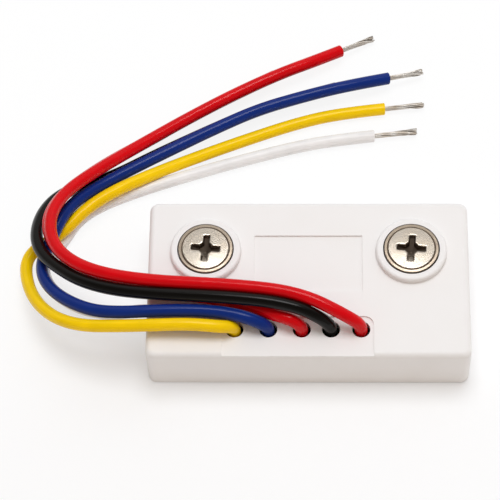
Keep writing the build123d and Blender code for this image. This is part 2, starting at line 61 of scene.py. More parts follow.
def addCamera(view):
    # place = aim + distance * direction; the roll turns the camera about that direction
    back = skyDirection(view["azimuth"], view["elevation"])
    data = bpy.data.cameras.new("camera")
    data.lens = view["lens"]
    data.sensor_width = view["sensor"]
    data.clip_start, data.clip_end = view["clip"]
    camera = bpy.data.objects.new("camera", data)
    bpy.context.scene.collection.objects.link(camera)
    camera.location = Vector(view["aim"]) + back * view["distance"]
    camera.rotation_mode = "QUATERNION"
    upright = (-back).to_track_quat("-Z", "Y")
    camera.rotation_quaternion = upright @ Quaternion((0.0, 0.0, 1.0), math.radians(view["roll"]))
    bpy.context.scene.camera = camera


addCamera(cameraView)
print("camera in place")


class Signal:
    # a shader output: each operator adds its Math nodes to the tree
    def __init__(self, tree, socket):
        self.tree = tree
        self.socket = socket

    def math(self, operation, *others):
        made = self.tree.nodes.new("ShaderNodeMath")
        made.operation = operation
        for place, value in enumerate((self, *others)):
            if isinstance(value, Signal):
                self.tree.links.new(value.socket, made.inputs[place])
            else:
                made.inputs[place].default_value = value
        return Signal(self.tree, made.outputs[0])

    def __add__(self, other):
        return self.math("ADD", other)

    def __mul__(self, other):
        return self.math("MULTIPLY", other)

    def __sub__(self, other):
        return self.math("SUBTRACT", other)

    def __rsub__(self, other):
        return self.math("MULTIPLY", -1.0).math("ADD", other)

    def __gt__(self, other):
        return self.math("GREATER_THAN", other)

    def __lt__(self, other):
        return self.math("LESS_THAN", other)

    def __mod__(self, other):
        return self.math("FLOORED_MODULO", other)

    def __abs__(self):
        return self.math("ABSOLUTE")

    __radd__ = __add__
    __rmul__ = __mul__


class Tree:
    # a node tree: node() adds any node, its settings first and then the values or links of its sockets
    def __init__(self, tree):
        self.tree = tree

    def node(self, kind, settings=None, sockets=None, output=0):
        made = self.tree.nodes.new(kind)
        for name, value in (settings or {}).items():
            setattr(made, name, value)
        for name, value in (sockets or {}).items():
            self.feed(made.inputs[name], value)
        return Signal(self.tree, made.outputs[output])

    def feed(self, socket, value):
        if isinstance(value, Signal):
            self.tree.links.new(value.socket, socket)
        else:
            socket.default_value = value

    def axes(self, vector):
        # the three numbers of a vector
        made = self.node("ShaderNodeSeparateXYZ", None, {"Vector": vector})
        outputs = made.socket.node.outputs
        return [Signal(self.tree, outputs[axis]) for axis in range(3)]

    def ramp(self, signal, low, high):
        # 0 below low, 1 above high
        sockets = {"Value": signal, "From Min": low, "From Max": high}
        return self.node("ShaderNodeMapRange", {"clamp": True}, sockets)

    def blend(self, mask, first, second):
        # first where the mask is 0, second where it is 1
        sockets = {0: mask, 6: first, 7: second}
        return self.node("ShaderNodeMix", {"data_type": "RGBA"}, sockets, output=2)


class Finish(Tree):
    # one material with a Principled shader, and the piece's own coordinates to place its patterns by
    def __init__(self, name):
        self.material = bpy.data.materials.new(name)
        self.material.use_nodes = True
        super().__init__(self.material.node_tree)
        self.shader = self.tree.nodes["Principled BSDF"]
        self.place = self.node("ShaderNodeTexCoord", output="Object")

    def skin(self):
        return self.node("ShaderNodeAttribute", {"attribute_name": "skin"}, output="Vector")

    def stretched(self, vector, scale):
        return self.node("ShaderNodeVectorMath", {"operation": "MULTIPLY"}, {0: vector, 1: scale})

    def noise(self, size, detail=2.0, vector=None):
        # size is how far apart the noise's features lie, in metres
        sockets = {"Vector": vector or self.place, "Scale": 1.0 / size, "Detail": detail}
        return self.node("ShaderNodeTexNoise", None, sockets)

    def patches(self, size, reach, detail=3.0):
        # soft patches of this size, 1 inside them and 0 between them
        return self.ramp(self.noise(size, detail), *reach)

    def bump(self, height, depth, under=None):
        sockets = {"Height": height, "Distance": depth, "Strength": 1.0}
        if under is not None:
            sockets["Normal"] = under
        return self.node("ShaderNodeBump", None, sockets)

    def surface(self, sockets):
        for name, value in sockets.items():
            self.feed(self.shader.inputs[name], value)
        return self.material


def tone(red, green, blue):
    # a screen colour from 0 to 255 as the linear colour that a shader takes
    shares = [value / 255.0 for value in (red, green, blue)]
    return (*[((s + 0.055) / 1.055) ** 2.4 if s > 0.04045 else s / 12.92 for s in shares], 1.0)


def darker(colour, share):
    # the colour times this share
    return (colour[0] * share, colour[1] * share, colour[2] * share, 1.0)


def smooth(low, high, value):
    # 0 below low and 1 above high, with 3t^2 - 2t^3 between them
    share = np.clip((value - low) / (high - low), 0.0, 1.0)
    return share * share * (3.0 - 2.0 * share)


def closedSurface(name, grids, skins):
    # each grid of rings gets quads between neighbouring rings and a fan of triangles at each end
    points = []
    quads = []
    fans = []
    start = 0
    for grid in grids:
        rows, columns = grid.shape[:2]
        at = start + np.arange(rows * columns).reshape(rows, columns)
        after = np.roll(at, -1, axis=1)
        quads.append(np.stack([at[:-1], after[:-1], after[1:], at[1:]], axis=-1).reshape(-1, 4))
        middle = np.full(columns, start + rows * columns)
        fans.append(np.stack([middle, after[0], at[0]], axis=-1))
        fans.append(np.stack([middle + 1, at[-1], after[-1]], axis=-1))
        ends = [grid[:1].mean(axis=1), grid[-1:].mean(axis=1)]
        points.append(np.concatenate([grid.reshape(-1, 3), *ends]))
        start += rows * columns + 2
    points = np.concatenate(points).astype(np.float32)
    quads = np.concatenate(quads)
    fans = np.concatenate(fans)
    mesh = bpy.data.meshes.new(name)
    mesh.vertices.add(len(points))
    mesh.vertices.foreach_set("co", points.ravel())
    mesh.loops.add(quads.size + fans.size)
    corners = np.concatenate([quads.ravel(), fans.ravel()])
    mesh.loops.foreach_set("vertex_index", corners.astype(np.int32))
    mesh.polygons.add(len(quads) + len(fans))
    starts = np.concatenate([np.arange(len(quads)) * 4, quads.size + np.arange(len(fans)) * 3])
    mesh.polygons.foreach_set("loop_start", starts.astype(np.int32))
    mesh.update(calc_edges=True)
    mesh.validate()
    mesh.shade_smooth()
    skin = mesh.attributes.new("skin", "FLOAT_VECTOR", "POINT")
    skin.data.foreach_set("vector", np.concatenate(skins).astype(np.float32).ravel())
    piece = bpy.data.objects.new(name, mesh)
    bpy.context.scene.collection.objects.link(piece)
    return piece


# Insulated leads. A route's points are in millimetres, from its hole in the housing to its stripped end.
# They are the CAD lead's own, apart from some near the loop that are moved up to 2.6 mm to follow the
# photograph.
leadShape = {
    "radius": 1.4 * mm,
    "step": 0.4 * mm,
    "sides": 36,
    "unevenness": 0.004,  # share of the radius
    "waves": (1.9, 3.7, 8.3),  # wave lengths in millimetres, over 2 pi
    "wavePhase": 6.28,
    "rim": 0.2 * mm,
    "rimRoom": 1.6,  # share of the rim that the plain part leaves free
    "rimSteps": 7,
    "mouth": 0.6 * mm,
    "mouthDepth": 0.18 * mm,
    "mouthProfile": ((0.0, 1.5), (0.0, 1.15), (0.3, 1.0), (1.0, 0.95)),  # shares of depth and radius
    "cutSlant": 0.07,
    "cutReach": 2.0 * mm,
    "panelMouth": 12.6 * mm,  # height at which five leads leave the housing
    "wallMouth": -35.0 * mm,  # x at which the white lead leaves it
    "runOn": 30,  # steps by which the path carries on under the strands
    "seed": 10,
}
strandShape = {
    "radius": 0.108 * mm,
    "layers": ((1, 0.0), (6, 0.235 * mm), (12, 0.46 * mm)),  # how many, and how far from the middle
    "pitch": 18.0 * mm,
    "step": 0.25 * mm,
    "sides": 10,
    "bend": 0.3,  # millimetres at the tip
    "flare": 0.4,
    "flareSpread": (0.2, 1.4),
    "flareReach": (0.35, 1.05),  # shares of the bare length
    "ragged": 0.35 * mm,
    "raggedSpread": (-1.0, 0.4),
    "twist": 0.12,  # radians, all along
    "tipTwist": 0.5,  # radians, towards the tip
    "tipReach": (0.5, 1.0),
    "wander": 0.05 * mm,
    "wanderTurns": (7.0, 6.0),
    "leastReach": 0.001 * mm,  # distance from the middle that the middle strand is taken to have
    "root": 0.8 * mm,
    "seed": 40,
}
leadRoutes = {
    "yellow": [
        (-15.9, -12.3, 11.2), (-15.9, -12.3, 13.2), (-17.0, -12.8, 14.9), (-19.1, -13.2, 15.7),
        (-22.5, -13.0, 16.1), (-27.4, -12.8, 16.1), (-33.9, -12.9, 15.8), (-40.8, -12.7, 15.0),
        (-48.3, -11.7, 13.0), (-54.1, -9.0, 10.6), (-58.3, -4.9, 8.0), (-61.2, 0.1, 5.5),
        (-62.8, 5.4, 3.4), (-63.03, 9.24, 2.54), (-61.95, 11.74, 2.68), (-59.76, 13.3, 3.32),
        (-56.91, 14.82, 3.97), (-53.83, 17.5, 4.47), (-50.15, 21.66, 5.08), (-44.36, 26.31, 4.82),
        (-36.08, 31.29, 3.62), (-26.06, 36.58, 2.29), (-14.9, 41.7, 1.45), (-2.9, 46.3, 1.45),
        (7.3, 49.0, 1.45), (17.5, 50.2, 1.45),
    ],
    "blue": [
        (-8.6, -12.3, 11.2), (-8.6, -12.3, 13.2), (-9.7, -12.2, 14.9), (-11.9, -11.7, 16.0),
        (-15.0, -10.8, 16.4), (-19.8, -9.9, 16.4), (-25.8, -9.6, 16.4), (-33.1, -9.7, 16.3),
        (-40.4, -9.9, 15.9), (-46.2, -9.0, 14.9), (-51.4, -6.1, 13.0), (-55.7, -2.2, 10.8),
        (-58.33, 2.16, 8.95), (-58.96, 6.48, 7.54), (-58.18, 10.37, 6.82), (-56.89, 13.93, 6.8),
        (-55.6, 17.51, 7.02), (-53.81, 21.12, 6.66), (-50.6, 24.89, 5.78), (-45.34, 29.07, 4.83),
        (-38.02, 33.8, 4.29), (-29.3, 38.88, 4.22), (-20.3, 43.8, 4.4), (-11.7, 48.2, 4.4),
        (-2.5, 51.4, 4.4), (8.3, 54.6, 4.4), (18.5, 57.5, 3.1),
    ],
    "red_a": [
        (-1.4, -12.3, 11.2), (-1.4, -12.3, 13.2), (-2.3, -12.0, 15.0), (-4.0, -11.4, 15.8),
        (-7.5, -10.1, 15.4), (-11.8, -8.1, 14.8), (-18.6, -6.1, 14.6), (-26.0, -5.0, 14.6),
        (-33.8, -3.6, 14.5), (-42.6, -1.3, 14.0), (-49.2, 2.3, 12.8), (-53.8, 6.23, 11.44),
        (-56.54, 10.26, 10.25), (-57.91, 14.36, 9.48), (-57.7, 18.45, 8.81), (-56.03, 22.38, 7.91),
        (-53.73, 25.97, 6.6), (-50.55, 29.86, 5.16), (-45.3, 34.9, 3.6), (-37.3, 40.9, 2.2),
        (-27.7, 47.8, 1.45), (-17.1, 54.3, 1.45), (-7.9, 59.3, 1.45),
    ],
    "black": [
        (4.9, -12.3, 11.2), (4.9, -12.3, 13.2), (4.1, -11.9, 15.0), (1.9, -11.3, 17.0),
        (-1.8, -10.05, 18.35), (-7.7, -8.8, 18.85), (-15.5, -7.8, 18.7), (-24.5, -7.0, 18.3),
        (-34.0, -6.2, 17.6), (-42.7, -4.7, 16.7), (-49.7, -1.7, 15.1), (-54.9, 2.8, 12.8),
        (-58.6, 7.06, 10.74), (-60.31, 11.47, 8.85), (-60.6, 15.84, 6.87), (-60.09, 19.91, 4.93),
        (-58.91, 23.46, 3.23), (-57.03, 26.42, 2.04), (-54.3, 28.6, 1.45), (-50.9, 29.8, 1.45),
        (-47.1, 31.3, 1.45), (-42.6, 33.4, 1.45), (-36.3, 37.1, 1.45), (-28.6, 41.3, 1.45),
        (-20.5, 45.6, 1.45), (-11.7, 50.0, 1.45), (-2.5, 53.2, 1.45), (6.3, 55.9, 1.45),
    ],
    "red_b": [
        (11.4, -12.3, 11.2), (11.4, -12.3, 13.2), (10.7, -12.0, 15.1), (8.7, -11.6, 16.9),
        (5.5, -10.3, 18.2), (0.8, -8.1, 18.9), (-5.6, -6.2, 19.1), (-14.6, -5.0, 18.9),
        (-24.1, -4.2, 18.6), (-33.6, -3.4, 18.2), (-42.3, -1.8, 17.6), (-48.8, 0.8, 16.5),
        (-53.4, 4.5, 15.0), (-56.0, 8.5, 13.7), (-57.0, 12.5, 12.7), (-57.0, 16.5, 11.8),
        (-55.7, 20.5, 10.9), (-53.5, 24.1, 9.8), (-50.3, 27.7, 8.6), (-44.9, 32.8, 6.9),
        (-37.1, 39.1, 5.3), (-27.5, 46.0, 4.5), (-17.0, 52.5, 4.4), (-6.7, 58.0, 4.4),
        (1.7, 62.0, 3.8), (7.5, 65.3, 2.8),
    ],
    "white": [
        (-33.4, -5.0, 7.2), (-36.4, -5.0, 7.2), (-39.2, -4.8, 6.1), (-42.4, -4.0, 3.8),
        (-46.0, -2.9, 2.0), (-50.6, -1.5, 1.45), (-55.0, 1.1, 1.45), (-57.9, 4.1, 1.45),
        (-59.24, 7.3, 1.68), (-58.87, 10.14, 1.71), (-57.09, 12.44, 1.44), (-54.9, 15.66, 1.43),
        (-52.56, 20.0, 1.77), (-48.03, 23.96, 1.73), (-40.12, 27.78, 1.54), (-28.93, 31.96, 1.45),
        (-15.7, 36.3, 1.45), (-1.5, 40.4, 1.45), (7.6, 42.0, 1.45), (15.0, 42.9, 1.45),
    ],
}
# length of the insulation and of the bare strands of each lead
leadLengths = {
    "yellow": (157.8 * mm, 9.1 * mm),
    "blue": (161.1 * mm, 8.2 * mm),
    "red_a": (139.4 * mm, 8.0 * mm),
    "black": (165.6 * mm, 8.0 * mm),
    "red_b": (168.8 * mm, 8.9 * mm),
    "white": (118.1 * mm, 9.8 * mm),
}
paints = {
    "yellow": tone(255, 210, 2),
    "blue": tone(17, 45, 122),
    "red": tone(216, 2, 14),
    "black": tone(15, 13, 11),
    "white": tone(243, 240, 238),
}


def pathLengths(points):
    # distance from the first point, run by run
    return np.concatenate([[0.0], np.cumsum(np.linalg.norm(np.diff(points, axis=0), axis=1))])


def valuesAt(values, lengths, stations):
    # each of the three numbers is interpolated by itself
    return np.stack([np.interp(stations, lengths, values[:, axis]) for axis in range(3)], axis=-1)


def readRoute(name, points, step):
    # points one step apart along an order 3 NURBS spline whose control points are the route's own
    curve = bpy.data.curves.new(name, "CURVE")
    curve.dimensions = "3D"
    spline = curve.splines.new("NURBS")
    spline.points.add(len(points) - 1)
    spline.points.foreach_set("co", np.c_[points, np.ones(len(points))].ravel())
    spline.order_u = 3
    spline.use_endpoint_u = True
    spline.resolution_u = 24
    holder = bpy.data.objects.new(name, curve)
    mesh = bpy.data.meshes.new_from_object(holder)
    dense = np.empty(len(mesh.vertices) * 3)
    mesh.vertices.foreach_get("co", dense)
    dense = dense.reshape(-1, 3)
    bpy.data.objects.remove(holder)
    bpy.data.curves.remove(curve)
    bpy.data.meshes.remove(mesh)
    lengths = pathLengths(dense)
    return valuesAt(dense, lengths, np.linspace(0.0, lengths[-1], round(lengths[-1] / step) + 1))


class Course:
    # a path with a frame at each point: the normal is a fixed direction less its part along the path
    leaning = np.array([1.0, 1.0, 1.3])

    def __init__(self, points):
        self.points = points
        self.lengths = pathLengths(points)
        tangents = np.gradient(points, axis=0)
        self.tangents = tangents / np.linalg.norm(tangents, axis=1, keepdims=True)
        normals = self.leaning - self.tangents * (self.tangents @ self.leaning)[:, None]
        self.normals = normals / np.linalg.norm(normals, axis=1, keepdims=True)
        self.sideways = np.cross(self.tangents, self.normals)

    def offset(self, stations, across, up, along):
        # the point at each station, moved by these amounts along the normal, the side vector and the path
        frames = (self.points, self.normals, self.sideways, self.tangents)
        centre, normal, side, tangent = (valuesAt(values, self.lengths, stations) for values in frames)
        return centre + normal * across[..., None] + side * up[..., None] + tangent * along[..., None]


def leadInsulation(name, course, length, seed):
    # radius = plain radius * (1 + slow waves), then a quarter-round rim and a shallow mouth
    random = np.random.default_rng(seed)
    radius = leadShape["radius"]
    rim = leadShape["rim"]
    phase = leadShape["wavePhase"]
    stations = np.linspace(0.0, length - leadShape["rimRoom"] * rim, round(length / leadShape["step"]))
    waves = [
        np.sin(stations / (period * mm) + random.uniform(0.0, phase)) for period in leadShape["waves"]
    ]
    radii = radius * (1.0 + leadShape["unevenness"] * sum(waves) / len(waves))
    rounding = np.linspace(0.0, math.pi / 2, leadShape["rimSteps"])
    mouthDepths, mouthWidths = np.array(leadShape["mouthProfile"]).T
    stations = np.concatenate([
        stations,
        length - rim + rim * np.sin(rounding),
        length - mouthDepths * leadShape["mouthDepth"],
    ])
    radii = np.concatenate([
        radii,
        radius - rim + rim * np.cos(rounding),
        mouthWidths * leadShape["mouth"],
    ])
    angles = np.arange(leadShape["sides"]) * (2.0 * math.pi / leadShape["sides"])
    across = radii[:, None] * np.cos(angles)
    up = radii[:, None] * np.sin(angles)
    slant = smooth(length - leadShape["cutReach"], length, stations)[:, None] * leadShape["cutSlant"]
    slant = slant * across
    along = np.broadcast_to(stations[:, None], across.shape)
    grid = course.offset(along, across, up, slant)
    skin = np.stack([along, across, up], axis=-1).reshape(-1, 3)
    ends = np.array([[0.0, 0.0, 0.0], [length, 0.0, 0.0]])
    return closedSurface(name, [grid], [skin, ends])


def strandBundle(name, course, start, end, seed):
    # each strand keeps its distance from the middle and winds once a pitch; the lay opens at the tip.
    # skin is the place along the strand, and how far a point lies outwards and sideways of its middle
    random = np.random.default_rng(seed)
    radius, twist, tipTwist = (strandShape[key] for key in ("radius", "twist", "tipTwist"))
    angles = np.arange(strandShape["sides"]) * (2.0 * math.pi / strandShape["sides"])
    bend = random.uniform(-strandShape["bend"], strandShape["bend"], 2) * mm
    acrossTurns, upTurns = strandShape["wanderTurns"]
    grids = []
    skins = []
    for count, distance in strandShape["layers"]:
        for number in range(count):
            tip = end + random.uniform(*strandShape["raggedSpread"]) * strandShape["ragged"]
            stations = np.linspace(start, tip, round((tip - start) / strandShape["step"]))
            share = (stations - start) / (end - start)
            turn = 2.0 * math.pi * (number / count + (stations - start) / strandShape["pitch"])
            turn = turn + random.uniform(-twist, twist)
            turn = turn + random.uniform(-tipTwist, tipTwist) * smooth(*strandShape["tipReach"], share)
            flare = strandShape["flare"] * random.uniform(*strandShape["flareSpread"])
            spread = distance * (1.0 + flare * smooth(*strandShape["flareReach"], share))
            wander = strandShape["wander"] * share
            across = spread * np.cos(turn) + wander * np.sin(share * acrossTurns + number)
            across = across + bend[0] * share**2
            up = spread * np.sin(turn) + wander * np.cos(share * upTurns + number)
            up = up + bend[1] * share**2
            line = Course(course.offset(stations, across, up, np.zeros(len(stations))))
            along = np.broadcast_to(line.lengths[:, None], (len(stations), len(angles)))
            ringAcross = np.broadcast_to(radius * np.cos(angles), along.shape)
            ringUp = np.broadcast_to(radius * np.sin(angles), along.shape)
            grids.append(line.offset(along, ringAcross, ringUp, np.zeros(along.shape)))
            reach = np.maximum(np.hypot(across, up), strandShape["leastReach"])[:, None]
            outward = (ringAcross * across[:, None] + ringUp * up[:, None]) / reach
            sideways = (ringUp * across[:, None] - ringAcross * up[:, None]) / reach
            skin = np.stack([along, outward, sideways], axis=-1).reshape(-1, 3)
            skins.append(np.concatenate([skin, skin[:1], skin[-1:]]))
    return closedSurface(name, grids, skins)


insulationLook = {
    "alongStretch": (0.06, 1.0, 1.0),
    "streakSize": 0.4 * mm,
    "streakHeight": 0.6,
    "cloudSize": 5.0 * mm,
    "mottleReach": (0.35, 0.65),
    "rippleSize": 0.5 * mm,
    "rippleDepth": 0.0015 * mm,
    "dullShare": 0.88,
    "roughness": (0.13, 0.08, 0.05),  # plain, and what streaks and clouds add
    "specular": 0.2,
}
strandLook = {
    "alongStretch": (0.05, 1.0, 1.0),
    "lineSize": 0.05 * mm,
    "lineDepth": 0.002 * mm,
    "dullSize": 2.6 * mm,
    "dullReach": (0.4, 0.75),
    "bright": tone(252, 247, 240),
    "dull": tone(214, 199, 180),
    # painted shade between the strands: the dark tone where a strand's surface faces its neighbours
    "paintedGapShade": tone(88, 70, 54),
    "gapShadeShare": 0.62,
    "gapShadeReach": (0.095 * mm, 0.015 * mm),  # outwards of the strand's middle, from its start to full
    "roughness": (0.24, 0.16, 0.1),  # plain, and what dull stretches and lines add
    "metal": 0.6,
}


def insulationFinish(name, colour):
    # glossy vinyl: faint streaks along the lead, slow cloudiness, and a very fine ripple for bump
    look = insulationLook
    finish = Finish(name)
    drawn = finish.stretched(finish.skin(), look["alongStretch"])
    streaks = finish.noise(look["streakSize"], detail=3.0, vector=drawn)
    clouds = finish.noise(look["cloudSize"])
    ripple = finish.noise(look["rippleSize"], detail=3.0)
    mottle = finish.ramp(streaks * 0.5 + clouds * 0.5, *look["mottleReach"])
    plain, streaky, cloudy = look["roughness"]
    return finish.surface({
        "Base Color": finish.blend(mottle, darker(colour, look["dullShare"]), colour),
        "Roughness": plain + streaks * streaky + clouds * cloudy,
        "Normal": finish.bump(ripple + streaks * look["streakHeight"], look["rippleDepth"]),
        "Specular IOR Level": look["specular"],
    })


def strandFinish(name):
    # tinned copper: bright grey with duller, browner stretches, fine lines drawn along each strand, and
    # painted shade where a strand's surface turns towards its neighbours
    look = strandLook
    finish = Finish(name)
    skin = finish.skin()
    drawn = finish.noise(look["lineSize"], vector=finish.stretched(skin, look["alongStretch"]))
    dull = finish.patches(look["dullSize"], look["dullReach"], detail=2.0)
    _, outward, _ = finish.axes(skin)
    # painted shade: darker on the side of each strand that turns towards its neighbours
    paintedGapShade = finish.ramp(outward, *look["gapShadeReach"])
    metal = finish.blend(dull, look["bright"], look["dull"])
    plain, duller, lined = look["roughness"]
    return finish.surface({
        "Base Color": finish.blend(paintedGapShade * look["gapShadeShare"], metal, look["paintedGapShade"]),
        "Roughness": plain + dull * duller + drawn * lined,
        "Metallic": look["metal"],
        "Normal": finish.bump(drawn, look["lineDepth"]),
    })


insulations = {
    colour: insulationFinish(f"insulation_{colour}_finish", paint) for colour, paint in paints.items()
}
strandMetal = strandFinish("tinned_strands_finish")


def addLead(colour, route, seed):
    # the insulation ends where the route ends, and the strands carry on straight from inside its mouth
    length, bare = leadLengths[colour]
    paint = colour.split("_")[0]
    points = readRoute(f"route_{colour}", np.array(route) * mm, leadShape["step"])
    last = points[-1] - points[-2]
    splineLength = pathLengths(points)[-1]
    onwards = points[-1] + np.arange(1, leadShape["runOn"])[:, None] * last
    course = Course(np.concatenate([points, onwards]))
    name = f"lead_{colour}_insulation"
    lead = leadInsulation(name, course, splineLength, leadShape["seed"] + seed)
    lead.data.materials.append(insulations[paint])
    name = f"lead_{colour}_strands"
    root = splineLength - strandShape["root"]
    strands = strandBundle(name, course, root, splineLength + bare, strandShape["seed"] + seed)
    strands.data.materials.append(strandMetal)
    for piece, node in ((lead, f"lead_{colour}"), (strands, f"lead_{colour}_conductor")):
        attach(piece, "housing")
        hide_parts(node)
    mouth = [value * mm for value in route[0]]
    if colour == "white":
        mouth[0] = leadShape["wallMouth"]
    else:
        mouth[2] = leadShape["panelMouth"]
    print("lead", colour, "is", round(splineLength / mm, 1), "mm long")


for seed, (colour, route) in enumerate(leadRoutes.items()):
    addLead(colour, route, seed)


# Cover screws. Heights are from the floor, at rest.
screwShape = {
    "places": {"left": (-22.45 * mm, 6.4 * mm), "right": (22.45 * mm, 6.4 * mm)},
    "columns": 320,
    "top": 14.95 * mm,
    "headUnder": 11.65 * mm,
    "headRadius": 5.94 * mm,
    "faceRadius": 5.0 * mm,
    "faceDome": 0.05 * mm,
    "grooveWidth": 0.3 * mm,
    "grooveDepth": 0.34 * mm,
    "rimStep": 0.03 * mm,
    "ringDrop": 0.1 * mm,
    "ringSlope": 0.006 * mm,
    "cornerRadius": 0.13 * mm,
    "cornerRows": 10,
    "crossTurn": -5.5,  # degrees
    "crossSpan": 3.2 * mm,
    "crossWing": 0.75 * mm,
    "crossEnd": 0.35 * mm,
    "crossHeart": 1.5 * mm,
    "heartCorner": 0.1 * mm,
    "crossReach": 4.0 * mm,  # further out than the cross is anywhere
    "halvings": 30,
    "wingDepth": 0.9 * mm,
    "heartDepth": 2.3 * mm,
    "wallWidth": 0.22 * mm,
    "rimWidth": 0.16 * mm,
    "rimDrop": 0.05 * mm,
    # rows of the face, as shares of the way from the cross to the groove, and of the recess, as shares of
    # the way from the middle to the cross: they crowd at the rim between the two
    "faceRows": (
        1.0, 0.97, 0.9, 0.8, 0.68, 0.56, 0.45, 0.35, 0.26, 0.19, 0.13, 0.08, 0.05, 0.025, 0.01, 0.0,
    ),
    "recessRows": (
        0.99, 0.975, 0.955, 0.93, 0.9, 0.86, 0.81, 0.75, 0.68, 0.6, 0.5, 0.4, 0.3, 0.2, 0.1, 0.03,
    ),
    "shankRadius": 3.0 * mm,
    "threadRows": 76,
    "threadDepth": 0.55 * mm,
    "threadPitch": 1.0 * mm,
    "threadTop": 5.45 * mm,
    "ridgeSlope": 1.3,
    "ridgeCut": 0.1,
    "tipTaper": 1.0,
    "topTaper": 1.4,
    "neckRadius": 2.4 * mm,
    "neckTop": 6.35 * mm,
    "tip": 1.65 * mm,
}
# What the turned profile adds to its main radii and heights, row by row, in millimetres.
shankProfile = (
    ("neck", 0.0, "threadTop", 0.05), ("neck", 0.0, "neckTop", 0.0), ("shank", -0.1, "neckTop", 0.01),
    ("shank", 0.0, "neckTop", 0.12), ("shank", 0.0, "under", -0.1), ("shank", 0.02, "under", -0.02),
    ("shank", 0.1, "under", 0.0), ("head", -0.15, "under", 0.0), ("head", -0.03, "under", 0.04),
    ("head", 0.0, "under", 0.16),
)
grooveProfile = (
    ("corner", -0.02, "outer", 0.002), ("inner", 0.08, "ring", -0.004), ("inner", 0.06, "ring", 0.0),
    ("inner", 0.0, "ring", -0.04), ("inner", -0.03, "groove", 0.0), ("face", 0.05, "groove", 0.0),
    ("face", 0.015, "rim", -0.02),
)


def barDistance(across, along, halfAcross, halfAlong, rounding):
    # signed distance to a rectangle with rounded corners
    outAcross = np.abs(across) - halfAcross + rounding
    outAlong = np.abs(along) - halfAlong + rounding
    outside = np.hypot(np.maximum(outAcross, 0.0), np.maximum(outAlong, 0.0))
    return outside + np.minimum(np.maximum(outAcross, outAlong), 0.0) - rounding


def crossDistance(x, y):
    # the nearest of two crossed bars and a square set cornerwise in the middle
    keys = ("crossSpan", "crossWing", "crossEnd", "crossHeart", "heartCorner")
    span, wing, end, heart, corner = (screwShape[key] for key in keys)
    bars = np.minimum(barDistance(x, y, span, wing, end), barDistance(x, y, wing, span, end))
    half = math.sqrt(0.5)
    square = barDistance((x + y) * half, (x - y) * half, heart, heart, corner)
    return np.minimum(bars, square)


def crossOutline(angles):
    # radius of the cross at each angle, halving the interval until it is narrow
    near = np.zeros(len(angles))
    far = np.full(len(angles), screwShape["crossReach"])
    for _ in range(screwShape["halvings"]):
        middle = (near + far) / 2.0
        inside = crossDistance(middle * np.cos(angles), middle * np.sin(angles)) < 0.0
        near = np.where(inside, middle, near)
        far = np.where(inside, far, middle)
    return far


def screwHeadFace(angles):
    # rows from the groove round the face to the middle: height = dome - recess depth - rolled rim
    outline = crossOutline(angles)
    face = screwShape["faceRadius"]
    outer, inner = (np.array(screwShape[key])[:, None] for key in ("faceRows", "recessRows"))
    radii = np.concatenate([outline + (face - outline) * outer, outline * inner])
    x = radii * np.cos(angles)
    y = radii * np.sin(angles)
    distance = crossDistance(x, y)
    share = np.clip(radii / screwShape["crossSpan"], 0.0, 1.0)
    depth = screwShape["heartDepth"] + (screwShape["wingDepth"] - screwShape["heartDepth"]) * share
    height = -screwShape["faceDome"] * (radii / face) ** 2
    height = height - depth * smooth(0.0, screwShape["wallWidth"], -distance)
    rolled = 1.0 - smooth(0.0, screwShape["rimWidth"], np.abs(distance))
    height = height - screwShape["rimDrop"] * rolled
    return radii, screwShape["top"] + height


def screwProfile():
    # rows from the tip over the thread, whose ridge rises one pitch a turn, and the shoulder to the middle
    # of the face
    shape = screwShape
    columns = shape["columns"]
    angles = np.arange(columns) * (2.0 * math.pi / columns)
    radius, tip, top, neck = (shape[key] for key in ("shankRadius", "tip", "threadTop", "neckRadius"))
    heights = np.linspace(tip, top, shape["threadRows"])[:, None]
    turns = heights / shape["threadPitch"] - angles / (2.0 * math.pi)
    ridge = 1.0 - np.abs(2.0 * (turns - np.floor(turns)) - 1.0)
    ridge = np.clip(ridge * shape["ridgeSlope"] - shape["ridgeCut"], 0.0, 1.0)
    thread = radius - shape["threadDepth"] * (1.0 - ridge)
    limit = np.minimum((heights - tip) * shape["tipTaper"], (top - heights) * shape["topTaper"])
    thread = np.minimum(thread, neck + limit)
    head, corner = shape["headRadius"], shape["cornerRadius"]
    rim = shape["top"] - shape["faceDome"] - shape["rimStep"]
    ring = rim - shape["ringDrop"]
    outer = ring - shape["ringSlope"]
    at = {
        "neck": neck, "shank": radius, "head": head, "corner": head - corner,
        "inner": shape["faceRadius"] + shape["grooveWidth"], "face": shape["faceRadius"],
        "threadTop": top, "neckTop": shape["neckTop"], "under": shape["headUnder"],
        "outer": outer, "ring": ring, "groove": rim - shape["grooveDepth"], "rim": rim,
    }
    shoulder = np.linspace(0.0, math.pi / 2, shape["cornerRows"])
    rounded = np.stack([
        head - corner * (1.0 - np.cos(shoulder)),
        outer - corner * (1.0 - np.sin(shoulder)),
    ], axis=-1)
    below, above = (
        np.array([(at[across] + more * mm, at[up] + higher * mm) for across, more, up, higher in rows])
        for rows in (shankProfile, grooveProfile)
    )
    lathe = np.concatenate([below, rounded, above])
    faceRadii, faceHeights = screwHeadFace(angles - math.radians(shape["crossTurn"]))
    ones = np.ones(columns)
    radii = np.concatenate([thread, lathe[:, :1] * ones, faceRadii])
    height = np.concatenate([heights * ones, lathe[:, 1:] * ones, faceHeights])
    return radii, height, angles


